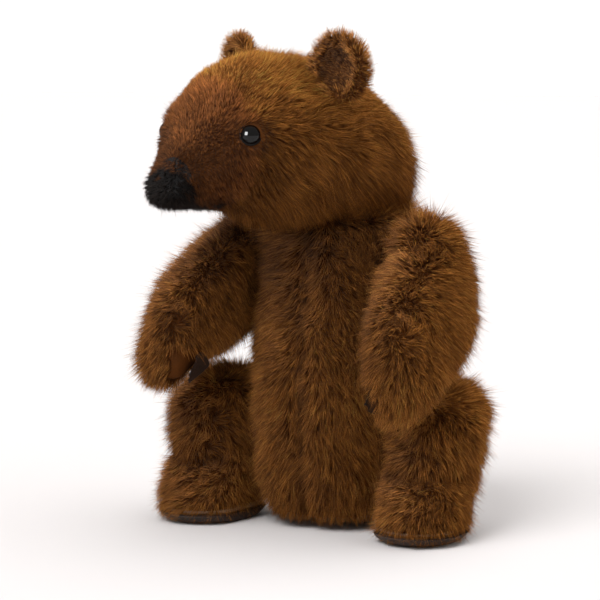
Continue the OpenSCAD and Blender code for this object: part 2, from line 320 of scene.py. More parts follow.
BLACK_PILE = PileFinish("black_pile", roughness=0.6, specular=0.1)

Tone = tuple[float, float, float]


@dataclass(frozen=True)
class Pile:
    """How one kind of plush stands: its strands' length, thickness, lean and colours."""

    length: float = 11.0 * MM
    width: float = 0.38 * MM
    per_cm2: float = 182.0
    lift: float = 41.0
    unruly: float = 0.24
    clump: float = 0.12
    clump_size: int = 12
    drift: float = 0.3
    fall: float = 0.1
    root: Tone = (0.10, 0.030, 0.005)
    tip: Tone = (0.43, 0.165, 0.032)
    stray: float = 0.09


BODY_PILE = Pile()
HEAD_PILE = Pile(length=8.5 * MM, width=0.36 * MM, per_cm2=210, fall=0.3)
MUZZLE_PILE = Pile(length=4.2 * MM, width=0.38 * MM, per_cm2=300, lift=36, clump=0.3, unruly=0.15,
                   root=(0.045, 0.013, 0.003), tip=(0.19, 0.066, 0.016), stray=0.02)
NOSE_PILE = Pile(length=5.0 * MM, width=0.4 * MM, per_cm2=330, lift=46, clump=0.3, unruly=0.4,
                 root=(0.003, 0.002, 0.002), tip=(0.019, 0.012, 0.009), stray=0.02)
EAR_PILE = Pile(length=7.0 * MM, width=0.42 * MM, per_cm2=230, lift=45)


# ---------------------------------------------------------------- soft forms


@dataclass
class SoftForm:
    """A stuffed shape taken from the frame: its plush backing, before the pile is grown."""

    name: str
    sources: tuple[str, ...]
    voxel: float = 5.0 * MM
    inset: float = 6.5 * MM
    rounding: int = 3
    swell: float = 4.0 * MM
    obj: bpy.types.Object = field(init=False)

    def build(self, flats: list["JointFace"], shape: Callable[[Array, Array], Array] | None = None) -> None:
        """Make the backing mesh.

        Args:
            flats: Joint faces where the plush is squeezed thin.
            shape: Moves the points, given points and normals, before the last smoothing.
        """
        self.obj = self.merged_copy()
        remesh = self.obj.modifiers.new("even", "REMESH")
        remesh.mode = "VOXEL"
        remesh.voxel_size = self.voxel
        apply_modifiers(self.obj)
        self.keep_outside()
        self.smooth(self.rounding)
        mesh = self.obj.data
        points, normals = read_points(mesh), read_normals(mesh)
        free = np.ones(len(points))
        for flat in flats:
            free *= 1 - flat.nearness(points)
        depth = self.inset * (0.1 + 0.9 * free)
        write_points(mesh, points - normals * depth[:, None])
        if self.swell:
            self.puff(free)
        refine = self.obj.modifiers.new("finer", "SUBSURF")
        refine.levels = refine.render_levels = 1
        apply_modifiers(self.obj)
        if shape:
            write_points(mesh, shape(read_points(mesh), read_normals(mesh)))
        self.smooth(2)
        mesh.polygons.foreach_set("use_smooth", np.ones(len(mesh.polygons), dtype=bool))
        mesh.update()

    def puff(self, free: Array) -> None:
        """Blow the shape up as stuffed cloth, as far as the swell allows.

        Args:
            free: 1 where the cloth may move, falling to 0 at the joint faces.
        """
        rest = read_points(self.obj.data)
        cloth = self.obj.modifiers.new("stuffed", "CLOTH")
        cloth.settings.quality = 4
        cloth.settings.use_pressure = True
        cloth.settings.uniform_pressure_force = STUFFING_PRESSURE
        cloth.settings.effector_weights.gravity = 0.0
        for frame in range(1, CLOTH_FRAMES + 1):
            bpy.context.scene.frame_set(frame)
        seen = self.obj.evaluated_get(bpy.context.evaluated_depsgraph_get())
        move = read_points(seen.data) - rest
        far = np.linalg.norm(move, axis=1)
        move *= (np.minimum(far, self.swell) / np.maximum(far, 1e-9) * free)[:, None]
        self.obj.modifiers.remove(cloth)
        bpy.context.scene.frame_set(1)
        write_points(self.obj.data, rest + move)
        LOG.info("%s: cloth moved %.2f mm on average, %.2f mm at most, before the cap", self.name,
                 far.mean() / MM, far.max() / MM)

    def filling(self, depth: float = 3.5 * MM) -> bpy.types.Object:
        """Return the stuffing: a coarser copy of the form, moved in by depth."""
        obj = link_mesh(self.name.replace("backing", "filling"), self.obj.data.copy())
        obj.data.materials.clear()
        remesh = obj.modifiers.new("coarse", "REMESH")
        remesh.mode = "VOXEL"
        remesh.voxel_size = max(self.voxel, 4 * MM)
        apply_modifiers(obj)
        points, normals = read_points(obj.data), read_normals(obj.data)
        write_points(obj.data, points - normals * depth)
        obj.data.polygons.foreach_set("use_smooth", np.ones(len(obj.data.polygons), dtype=bool))
        return obj

    def merged_copy(self) -> bpy.types.Object:
        """Join copies of the source nodes into one mesh."""
        points, faces, start = [], [], 0
        for source in self.sources:
            mesh = bpy.data.objects[source].data
            p = read_points(mesh)
            points.append(p)
            faces.append(read_triangles(mesh) + start)
            start += len(p)
        mesh = mesh_from_arrays(self.name, np.vstack(points), np.vstack(faces))
        obj = link_mesh(self.name, mesh)
        select_only(obj)
        bpy.ops.object.mode_set(mode="EDIT")
        bpy.ops.mesh.select_all(action="SELECT")
        bpy.ops.mesh.remove_doubles(threshold=0.01 * MM)
        bpy.ops.object.mode_set(mode="OBJECT")
        return obj

    def keep_outside(self) -> None:
        """Delete every closed surface but the outermost one."""
        mesh = self.obj.data
        points = read_points(mesh)
        edges = np.empty(len(mesh.edges) * 2, dtype=np.int32)
        mesh.edges.foreach_get("vertices", edges)
        edges = edges.reshape(-1, 2)
        label = np.arange(len(points))
        while True:
            low = np.minimum(label[edges[:, 0]], label[edges[:, 1]])
            new = label.copy()
            np.minimum.at(new, edges[:, 0], low)
            np.minimum.at(new, edges[:, 1], low)
            new = new[new]
            if np.array_equal(new, label):
                break
            label = new
        outer = label[np.argmin(points[:, 0])]
        mesh.vertices.foreach_set("select", label != outer)
        select_only(self.obj)
        bpy.ops.object.mode_set(mode="EDIT")
        bpy.ops.mesh.delete(type="VERT")
        bpy.ops.object.mode_set(mode="OBJECT")

    def smooth(self, times: int) -> None:
        """Even out the surface without shrinking it."""
        mesh = self.obj.data
        edges = np.empty(len(mesh.edges) * 2, dtype=np.int32)
        mesh.edges.foreach_get("vertices", edges)
        a, b = edges.reshape(-1, 2).T
        points = read_points(mesh)
        count = np.bincount(a, minlength=len(points)) + np.bincount(b, minlength=len(points))
        for step in range(times * 2):
            total = np.zeros_like(points)
            np.add.at(total, a, points[b])
            np.add.at(total, b, points[a])
            pull = total / count[:, None] - points
            points += pull * (0.6 if step % 2 == 0 else -0.62)
        write_points(mesh, points)


@dataclass(frozen=True)
class JointFace:
    """A disc joint's face: where it lies, which way it looks and its disc's radius."""

    centre: tuple[float, float, float]
    axis: tuple[float, float, float]
    radius: float

    def nearness(self, points: Array) -> Array:
        """Return 1 for points on the face under the disc, falling to 0 round it."""
        offset = points - np.array(self.centre)
        axis = unit(np.array(self.axis))
        along = offset @ axis
        across = np.linalg.norm(offset - along[:, None] * axis, axis=1)
        near_plane = 1 - smooth_step(2 * MM, 6 * MM, np.abs(along))
        return near_plane * (1 - smooth_step(self.radius + 2 * MM, self.radius + 9 * MM, across))


# ---------------------------------------------------------------- pile


@dataclass(frozen=True)
class Dimple:
    """A point where the plush is pulled in by a stitch and the pile swirls."""

    centre: tuple[float, float, float]
    radius: float = 13.0 * MM
    depth: float = 4.0 * MM
    twist: float = 1.1

    def weight(self, points: Array) -> Array:
        """Return 1 at the middle, falling to 0 round it."""
        far = np.linalg.norm(points - np.array(self.centre) * MM, axis=1)
        return np.exp(-(far / self.radius) ** 2)

    def press(self, points: Array, normals: Array) -> Array:
        """Pull the surface in."""
        return points - normals * (self.depth * self.weight(points) ** 1.5)[:, None]

    def swirl(self, at: Array, facing: Array, way: Array) -> Array:
        """Turn the pile outwards and round the middle."""
        out = at - np.array(self.centre) * MM
        round_it = unit(np.cross(facing, out)) * self.twist + unit(out)
        weight = np.minimum(1.0, 1.4 * self.weight(at))[:, None]
        return unit(way) * (1 - weight) + unit(round_it) * weight


def drift(at: Array, seed: int, size: float) -> Array:
    """Return a smooth random value about 0 for each point, changing over about size."""
    rng = np.random.default_rng(seed)
    total = np.zeros(len(at))
    for _ in range(7):
        way = unit(rng.normal(0, 1, 3)) * math.tau / (size * rng.uniform(0.7, 1.6))
        total += np.sin(at @ way + rng.uniform(0, math.tau))
    return total / math.sqrt(3.5)


@dataclass
class Coat:
    """Pile grown on a soft form.

    grade gives, for root points, the length factor, the tone factor and which roots to keep;
    comb gives the direction in which the pile lies.
    """

    name: str
    pile: Pile
    finish: PileFinish
    seed: int
    comb: Callable[[Array, Array], Array]
    grade: Callable[[Array, Array], tuple[Array, Array, Array]]
    most: int = 49000

    def roots(self, obj: bpy.types.Object, rng: np.random.Generator) -> tuple[Array, Array]:
        """Scatter roots evenly over the form and return their points and normals."""
        mesh = obj.data
        points, normals, tris = read_points(mesh), read_normals(mesh), read_triangles(mesh)
        a, b, c = points[tris[:, 0]], points[tris[:, 1]], points[tris[:, 2]]
        area = np.linalg.norm(np.cross(b - a, c - a), axis=1) / 2
        total = int(area.sum() * 1e4 * self.pile.per_cm2)
        pick = rng.choice(len(tris), size=total, p=area / area.sum())
        u, v = rng.random(total), rng.random(total)
        flip = u + v > 1
        u[flip], v[flip] = 1 - u[flip], 1 - v[flip]
        w = 1 - u - v
        t = tris[pick]
        at = a[pick] * w[:, None] + b[pick] * u[:, None] + c[pick] * v[:, None]
        facing = normals[t[:, 0]] * w[:, None] + normals[t[:, 1]] * u[:, None] + normals[t[:, 2]] * v[:, None]
        return at, unit(facing)

    def grow(self, obj: bpy.types.Object) -> list[bpy.types.Object]:
        """Grow the strands on a form and return them as mesh objects of bounded size."""
        rng = np.random.default_rng(self.seed)
        at, facing = self.roots(obj, rng)
        reach, tone, keep = self.grade(at, facing)
        at, facing, reach, tone = at[keep], facing[keep], reach[keep], tone[keep]
        pile, count = self.pile, len(at)
        lie = self.comb(at, facing)
        lie = unit(lie - facing * np.sum(lie * facing, axis=1, keepdims=True))
        across = np.cross(facing, lie)
        leader = self.leaders(at, count)
        lead_turn = rng.normal(0, pile.unruly, count)[leader] + drift(at, self.seed, 30 * MM) * pile.drift
        lead_lift = rng.normal(0, 5.0, count)[leader] + drift(at, self.seed + 1, 22 * MM) * 6.0
        lead_length = rng.normal(1.0, 0.1, count)[leader]
        lead_tone = rng.normal(0.0, 0.07, count)[leader] + drift(at, self.seed + 2, 26 * MM) * 0.08
        turn = lead_turn + rng.normal(0, pile.unruly * 0.6, count)
        stray = rng.random(count) < pile.stray
        lift = pile.lift + lead_lift + rng.normal(0, 7.0, count) + 14.0 * stray
        lift = np.radians(np.clip(lift, 8, 85))
        heading = lie * np.cos(turn)[:, None] + across * np.sin(turn)[:, None]
        way = unit(heading * np.cos(lift)[:, None] + facing * np.sin(lift)[:, None])
        length = pile.length * reach * lead_length * rng.normal(1.0, 0.1, count) * (1 + 0.3 * stray)
        length = np.clip(length, pile.length * 0.15, pile.length * 2.1)
        tips = at + way * length[:, None]
        tips[:, 2] -= length * pile.fall * smooth_step(0.5, -0.3, facing[:, 2])
        gather = pile.clump * (~stray)
        lead_tip = tips[leader]
        tips += (lead_tip - tips) * gather[:, None] * 0.75
        tips[:, 2] = np.maximum(tips[:, 2], FLOOR_GAP)
        root, tone = at - facing * 0.4 * MM, tone * (1 + lead_tone)
        parts = math.ceil(count / self.most)
        order = np.argsort(at[:, 1] + 0.3 * at[:, 0] if parts > 2 else at[:, 2])
        made = []
        for k, pick in enumerate(np.array_split(order, parts)):
            name = self.name if parts == 1 else f"{self.name}_{k + 1}"
            made.append(self.mesh(name, root[pick], tips[pick], facing[pick], tone[pick], rng))
        return made

    def leaders(self, at: Array, count: int) -> Array:
        """Return, for each strand, the strand that its tuft gathers to."""
        chosen = np.arange(0, count, self.pile.clump_size)
        tree = KDTree(len(chosen))
        for i in chosen:
            tree.insert(at[i], int(i))
        tree.balance()
        return np.array([tree.find(p)[1] for p in at])

    def mesh(self, name: str, root: Array, tip: Array, facing: Array, tone: Array,
             rng: np.random.Generator) -> bpy.types.Object:
        """Build closed three-sided strands from roots to tips, with tone and map cells."""
        count = len(root)
        way = unit(tip - root)
        side = unit(np.cross(way, facing + rng.normal(0, 0.3, (count, 3))))
        up = np.cross(side, way)
        half = self.pile.width / 2 * rng.normal(1.0, 0.15, count)[:, None]
        points = np.empty((count, 4, 3))
        for k in range(3):
            angle = math.pi / 2 + k * math.tau / 3
            points[:, k] = root + (side * math.cos(angle) + up * math.sin(angle)) * half
        points[:, 3] = tip
        pattern = np.array([[0, 1, 3], [1, 2, 3], [2, 0, 3], [0, 2, 1]])
        faces = (np.arange(count)[:, None, None] * 4 + pattern).reshape(-1, 3)
        mesh = mesh_from_arrays(name, points.reshape(-1, 3), faces)
        colour = np.ones((count, 4, 4), dtype=np.float32)
        hue = np.clip(tone * rng.normal(1.0, 0.25, count), 0.15, 2.4)[:, None]
        gold = np.where(rng.random(count) < 0.3, 2.1, 0.72)[:, None]
        colour[:, :3, :3] = (np.array(self.pile.root) * hue)[:, None, :]
        colour[:, 3, :3] = np.array(self.pile.tip) * hue * gold
        layer = mesh.attributes.new("tone", "FLOAT_COLOR", "POINT")
        layer.data.foreach_set("color", np.clip(colour, 0, 1).ravel())
        self.map_cells(mesh, count, pattern)
        obj = link_mesh(name, mesh)
        mesh.materials.append(self.finish.material())
        return obj

    @staticmethod
    def map_cells(mesh: bpy.types.Mesh, count: int, pattern: Array) -> None:
        """Give each strand a small cell of the map, its root low and its tip high."""
        grid = math.ceil(math.sqrt(count))
        cell = np.stack([np.arange(count) % grid, np.arange(count) // grid], -1)
        spot = np.array([[0.2, 0.15], [0.5, 0.15], [0.8, 0.15], [0.5, 0.85]])
        corner = spot[pattern.ravel()]
        uv = (cell[:, None, :] + corner[None, :, :]) / grid
        layer = mesh.uv_layers.new(name="OFBake")
        layer.data.foreach_set("uv", uv.astype(np.float32).ravel())


# ---------------------------------------------------------------- the bear's parts


@dataclass(frozen=True)
class HeadFrame:
    """The head's own frame: its origin on the neck joint, its nose towards -Y."""

    neck: tuple[float, float, float]
    turn: float = math.radians(-25)

    def matrix(self, angle: float) -> Array:
        """Return the turn about Z by an angle."""
        c, s = math.cos(angle), math.sin(angle)
        return np.array([[c, -s, 0], [s, c, 0], [0, 0, 1]])

    def inside(self, points: Array) -> Array:
        """Bring points of the frame into the head's own frame."""
        return (points - np.array(self.neck)) @ self.matrix(-self.turn).T

    def outside(self, points: Array) -> Array:
        """Bring points of the head's own frame into the frame."""
        return points @ self.matrix(self.turn).T + np.array(self.neck)

    def aim(self, vectors: Array) -> Array:
        """Turn vectors of the head's own frame into the frame."""
        return vectors @ self.matrix(self.turn).T


@dataclass
class Body:
    """What the bear's six bodies share: joint faces, dressing and pile."""

    joints: list[dict]
    dimples: tuple[Dimple, ...] = ()

    def joint(self, name: str, disc: str) -> JointFace:
        """Return the face of a named joint, with its disc's radius from the frame."""
        spot = next(j for j in self.joints if j["name"] == name)
        low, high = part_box(disc)
        widest = max(np.array(high) - np.array(low))
        return JointFace(tuple(spot["pos_m"]), tuple(spot["axis"]), widest / 2)

    def faces(self) -> list[JointFace]:
        """Return the joint faces of this body."""
        return []

    def bare(self, points: Array) -> Array:
        """Return which points lie on a joint's face, where no pile stands."""
        on_face = np.zeros(len(points), dtype=bool)
        for flat in self.faces():
            on_face |= flat.nearness(points) > 0.45
        return on_face

    def press(self, points: Array, normals: Array) -> Array:
        """Pull every dimple in."""
        for dimple in self.dimples:
            points = dimple.press(points, normals)
        return points

    def swirl(self, at: Array, facing: Array, way: Array) -> Array:
        """Turn the pile round every dimple."""
        for dimple in self.dimples:
            way = dimple.swirl(at, facing, way)
        return way

    def shade(self, at: Array) -> Array:
        """Return how deep in a dimple each point lies, 0 away from them and 1 in their middles; the grades
        darken the pile by it as painted shade and shorten it.
        """
        dark = np.zeros(len(at))
        for dimple in self.dimples:
            dark = np.maximum(dark, dimple.weight(at))
        return dark

    def dress(self, obj: bpy.types.Object, body: str, slot: str, nodes: tuple[str, ...],
              finish: Finish, fill: float = 0.9) -> None:
        """Give a padded piece its material and body, and hide the frame's nodes it stands in for."""
        obj.data.materials.clear()
        obj.data.materials.append(finish.material())
        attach(obj, body)
        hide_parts(*nodes)
        LOG.info("%s: %d faces", obj.name, len(obj.data.polygons))

    def cover(self, form: SoftForm, coat: Coat, body: str, slot: str) -> None:
        """Grow a coat on a form and let it ride on the form's body."""
        for obj in coat.grow(form.obj):
            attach(obj, body)
            LOG.info("%s: %d strands", obj.name, len(obj.data.polygons) // 4)


@dataclass
class Torso(Body):
    """The body: backing, filling, pellet bag and pile."""

    seam_depth: float = 4.5 * MM
    seam_width: float = 6.0 * MM

    def faces(self) -> list[JointFace]:
        """Return the five joint faces of the torso."""
        return [self.joint("neck_turn", "neck_disc_torso")] + [
            self.joint(f"{kind}_{side.word}", f"{kind}_disc_torso_{side.word}")
            for kind in ("shoulder", "hip") for side in Side]

    def shape(self, points: Array, normals: Array) -> Array:
        """Sink the seam down the front and round the belly out beside it."""
        x, _, z = points.T
        front = smooth_step(-0.1, -0.6, normals[:, 1]) * smooth_step(0.2, 0.17, z)
        sink = self.seam_depth * np.exp(-(x / self.seam_width) ** 2)
        belly = 2.0 * MM * np.exp(-((np.abs(x) - 20 * MM) / (12 * MM)) ** 2)
        return points + normals * (front * (belly - sink))[:, None]

    def comb(self, at: Array, facing: Array) -> Array:
        """Lay the pile downwards and away from the seam."""
        x = at[:, 0]
        way = np.tile([0.0, 0.0, -1.0], (len(at), 1))
        front = smooth_step(0.0, 0.6, -facing[:, 1])
        way[:, 0] += 0.55 * np.tanh(x / (3 * MM)) * front * np.exp(-np.abs(x) / (20 * MM))
        return way

    def grade(self, at: Array, facing: Array) -> tuple[Array, Array, Array]:
        """Shorten the pile at the seat, lengthen it over the shoulders, paint shade down the seam's sunk
        crease and a shadow on the upper chest under the head.
        """
        x, y, z = at.T
        reach = 0.6 + 0.4 * smooth_step(5 * MM, 30 * MM, z)
        reach += 0.6 * smooth_step(0.155, 0.19, z)
        tone = np.ones(len(at))
        # painted shade in the seam's sunk crease: the pile darkens down the front seam
        tone *= 1 - 0.5 * np.exp(-(x / (3.5 * MM)) ** 2) * (facing[:, 1] < 0)
        # painted shadow of the head: the front-facing pile of the upper chest is darkened
        tone *= 1 - 0.35 * smooth_step(0.13, 0.19, z) * smooth_step(0.0, -0.5, facing[:, 1])
        keep = ~self.bare(at) & ~((z < 9 * MM) & (facing[:, 2] < -0.7))
        return reach, tone, keep

    def build(self) -> None:
        """Make the torso's pieces and let them ride on the torso."""
        form = SoftForm("torso_backing", ("torso_skin", "torso_stuffing", "pellet_bag"))
        form.build(self.faces(), self.shape)
        self.dress(form.obj, "torso", "body_plush", ("torso_skin",), BACKING)
        self.dress(form.filling(), "torso", "stuffing", ("torso_stuffing",), FIBRE, 1.0)
        bag = SoftForm("pellet_bag_cloth", ("pellet_bag",), voxel=3 * MM, inset=0.8 * MM, swell=0)
        bag.build([])
        self.dress(bag.obj, "torso", "pellet_cloth", ("pellet_bag",), CALICO, 0.7)
        self.cover(form, Coat("torso_pile", BODY_PILE, PILE, 11, self.comb, self.grade),
                   "torso", "body_plush")


@dataclass
class Eye:
    """One safety eye: a glossy dome in a thin dark rim."""

    side: Side
    radius: float = 6.1 * MM
    height: float = 5.2 * MM
    rim: float = 0.7 * MM
    foot_above_washer: float = 9.4 * MM

    def place(self) -> tuple[Vector, Vector]:
        """Return the middle of the eye's foot and the way it looks."""
        washer = node_centre(f"eye_washer_{self.side.word}")
        way = Vector(unit(node_centre(f"eye_{self.side.word}") - washer))
        return Vector(washer) + way * self.foot_above_washer, way

    def build(self) -> None:
        """Model the dome and its rim with the mesh tools."""
        foot, way = self.place()
        turn = way.to_track_quat("Z", "Y").to_matrix().to_4x4()
        bpy.ops.mesh.primitive_uv_sphere_add(segments=64, ring_count=32, radius=1.0)
        dome = bpy.context.object
        dome.name = f"eye_dome_{self.side.word}"
        dome.data.transform(Matrix.Translation(foot) @ turn
                            @ Matrix.Diagonal((self.radius, self.radius, self.height, 1)))
        bpy.ops.mesh.primitive_torus_add(major_radius=self.radius + 0.2 * MM, minor_radius=self.rim,
                                         major_segments=64, minor_segments=16)
        ring = bpy.context.object
        ring.name = f"eye_rim_{self.side.word}"
        ring.data.transform(Matrix.Translation(foot + way * 0.6 * MM) @ turn)
        for obj, finish in ((dome, EYE_BLACK), (ring, EYE_RIM)):
            obj.data.polygons.foreach_set("use_smooth", np.ones(len(obj.data.polygons), dtype=bool))
            obj.data.materials.append(finish.material())
            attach(obj, "head")
        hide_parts(f"eye_{self.side.word}")


@dataclass
class Head(Body):
    """The head: skull, muzzle, nose, ears and eyes."""

    nose_y: float = -130 * MM
    muzzle_y: float = -104 * MM
    ear_turn: float = math.radians(13)
    eye_room: float = 6.9 * MM

    @property
    def own(self) -> HeadFrame:
        """The head's own frame."""
        spot = next(j for j in self.joints if j["name"] == "neck_turn")["pos_m"]
        return HeadFrame(tuple(spot))

    def faces(self) -> list[JointFace]:
        """Return the neck's face."""
        return [self.joint("neck_turn", "neck_disc_head")]

    def eyes(self) -> list[Array]:
        """Return the middles of both eyes."""
        return [np.array(Eye(side).place()[0]) for side in Side]

    def shape(self, points: Array, normals: Array) -> Array:
        """Bring the backing up to the eyes."""
        for eye in self.eyes():
            far = np.linalg.norm(points - eye, axis=1)
            lift = 4.0 * MM * np.exp(-(far / (12 * MM)) ** 2)
            points = points + normals * lift[:, None]
        return points

    def comb(self, at: Array, facing: Array) -> Array:
        """Lay the pile back from the nose, down over the cheeks and the nape."""
        p = self.own.inside(at)
        way = np.zeros_like(p)
        way[:, 1] = 1.0
        way[:, 2] = -0.9 * smooth_step(60 * MM, 20 * MM, p[:, 2])
        way[:, 2] -= 0.9 * smooth_step(-40 * MM, 10 * MM, p[:, 1])
        way[:, 0] += 0.35 * np.sign(p[:, 0]) * smooth_step(0.0, 25 * MM, np.abs(p[:, 0]))
        return self.own.aim(way)

    def near_eyes(self, at: Array) -> Array:
        """Return how far each point is from the nearer eye."""
        return np.min([np.linalg.norm(at - eye, axis=1) for eye in self.eyes()], axis=0)

    def skull_grade(self, at: Array, facing: Array) -> tuple[Array, Array, Array]:
        """Keep the face short, let cheeks and nape grow; paint light on the upward-facing forehead, paint
        shade under the head and on the face's front, darker round the eyes.
        """
        p = self.own.inside(at)
        far = self.near_eyes(at)
        face = smooth_step(-72 * MM, -98 * MM, p[:, 1])
        reach = 1.0 - 0.5 * face
        reach += 0.9 * smooth_step(52 * MM, 10 * MM, p[:, 2]) * (1 - face)
        reach -= 0.35 * smooth_step(48 * MM, 70 * MM, p[:, 2]) * smooth_step(-40 * MM, 0.0, p[:, 1])
        reach += 0.35 * np.exp(-((far - 12 * MM) / (5 * MM)) ** 2)
        reach *= 0.45 + 0.55 * smooth_step(self.eye_room, 12 * MM, far)
        # painted light: upward-facing pile at the front of the head is lightened
        tone = 1 + 0.35 * smooth_step(0.2, 0.8, facing[:, 2]) * smooth_step(0.0, -50 * MM, p[:, 1])
        # painted shade: the pile darkens towards the underside of the head
        tone *= 1 - 0.3 * smooth_step(50 * MM, 10 * MM, p[:, 2])
        # painted shade: face pile that does not face upwards is darkened
        tone *= 1 - 0.35 * face * smooth_step(0.7, 0.1, facing[:, 2])
        tone *= 0.6 + 0.4 * smooth_step(self.eye_room, 15 * MM, far)
        keep = ~self.bare(at) & (p[:, 1] > self.muzzle_y) & (far > self.eye_room)
        return reach, tone, keep

    def on_nose(self, at: Array) -> Array:
        """Return which points carry the nose's black pile, which reaches back below."""
        p = self.own.inside(at)
        ragged = drift(at, 91, 7 * MM) * 1.5 * MM
        slanting = p[:, 1] + 0.5 * (p[:, 2] - 17 * MM) + ragged < self.nose_y - 1.5 * MM
        under = (p[:, 2] + ragged < 6 * MM) & (p[:, 1] < -104 * MM)
        return slanting | under

    def muzzle_grade(self, at: Array, facing: Array) -> tuple[Array, Array, Array]:
        """Keep the muzzle's short pile between the cheeks and the nose, with painted shade below and painted
        light on top.
        """
        p = self.own.inside(at)
        far = self.near_eyes(at)
        keep = (p[:, 1] <= self.muzzle_y + 3 * MM) & ~self.on_nose(at) & (far > self.eye_room)
        reach = 1.0 + 0.5 * smooth_step(-118 * MM, -104 * MM, p[:, 1])
        # painted shade: the muzzle's pile darkens towards its underside
        tone = 1 - 0.55 * smooth_step(16 * MM, 6 * MM, p[:, 2])
        tone *= 1 - 0.35 * smooth_step(-120 * MM, -128 * MM, p[:, 1])
        # painted light: the muzzle's upward-facing pile is lightened
        tone *= 1 + 0.75 * smooth_step(0.2, 0.8, facing[:, 2])
        tone *= 1 + 0.45 * smooth_step(-120 * MM, -104 * MM, p[:, 1])
        return reach, tone, keep

    def nose_grade(self, at: Array, facing: Array) -> tuple[Array, Array, Array]:
        """Keep the black pile on the nose and back under the muzzle."""
        return np.ones(len(at)), np.ones(len(at)), self.on_nose(at)

    def build(self) -> None:
        """Make the head's pieces and let them ride on the head."""
        form = SoftForm("head_backing", ("head_skin", "head_stuffing", "muzzle_skin", "nose"), inset=5 * MM)
        form.build(self.faces(), self.shape)
        filling = form.filling()
        plush = "body_plush"
        for coat, slot in ((Coat("head_pile", HEAD_PILE, PILE, 21, self.comb, self.skull_grade), plush),
                           (Coat("muzzle_pile", MUZZLE_PILE, SHORT_PILE, 22, self.comb,
                                 self.muzzle_grade), "muzzle_plush"),
                           (Coat("nose_pile", NOSE_PILE, BLACK_PILE, 23, self.comb,
                                 self.nose_grade), "nose_plush")):
            self.cover(form, coat, "head", slot)
        muzzle = self.cut(form.obj, "muzzle_backing", self.muzzle_y)
        nose = self.cut(muzzle, "nose_backing", self.nose_y)
        self.dress(form.obj, "head", plush, ("head_skin",), BACKING)
        self.dress(muzzle, "head", "muzzle_plush", ("muzzle_skin",), BACKING)
        self.dress(nose, "head", "nose_plush", ("nose",), DARK_BACKING)
        self.dress(filling, "head", "stuffing", ("head_stuffing",), FIBRE, 1.0)
        for side in Side:
            Eye(side).build()
            self.ear(side)

    def cut(self, obj: bpy.types.Object, name: str, y: float) -> bpy.types.Object:
        """Cut a form across at y of the head's own frame and return its front as a new piece."""
        front = link_mesh(name, obj.data.copy())
        spot = self.own.outside(np.array([[0.0, y, 0.0]]))[0]
        way = self.own.aim(np.array([[0.0, 1.0, 0.0]]))[0]
        for piece, ahead in ((obj, False), (front, True)):
            select_only(piece)
            bpy.ops.object.mode_set(mode="EDIT")
            bpy.ops.mesh.select_all(action="SELECT")
            bpy.ops.mesh.bisect(plane_co=spot, plane_no=way, use_fill=True,
                                clear_inner=not ahead, clear_outer=ahead)
            bpy.ops.object.mode_set(mode="OBJECT")
        return front

    def ear(self, side: Side) -> None:
        """Make one cupped ear, long pile round its rim and short dark pile inside."""
        word = side.word
        nodes = (f"ear_back_{word}", f"ear_lining_{word}")
        form = SoftForm(f"ear_backing_{word}", nodes, voxel=1.5 * MM, inset=0.8 * MM, swell=0)
        form.build([])
        self.dress(form.obj, "head", "ear_plush", nodes, BACKING, 0.8)
        look = self.own.aim(np.array([side.value * math.sin(self.ear_turn), -math.cos(self.ear_turn), 0.0]))
        middle = node_centre(f"ear_lining_{word}")
        base = middle - np.array([0, 0, 16 * MM])

        def comb(at: Array, facing: Array) -> Array:
            """Lay the pile out from the ear's base and a little back."""
            return unit(at - base) - 0.3 * look

        def inside(at: Array, facing: Array) -> Array:
            """Return which points lie in the ear's hollow."""
            flat = (at - middle) - ((at - middle) @ look)[:, None] * look
            return (facing @ look > 0.2) & (np.linalg.norm(flat, axis=1) < 13.5 * MM)

        def grade(at: Array, facing: Array) -> tuple[Array, Array, Array]:
            """Keep the hollow's pile short and dark."""
            hollow = inside(at, facing)
            reach = np.where(hollow, 0.5, 1.0)
            tone = np.where(hollow, 0.45, 1.05)
            return reach, tone, at[:, 2] > base[2] - 1 * MM

        coat = Coat(f"ear_pile_{word}", EAR_PILE, PILE, 32 + side.value, comb, grade)
        self.cover(form, coat, "head", "ear_plush")


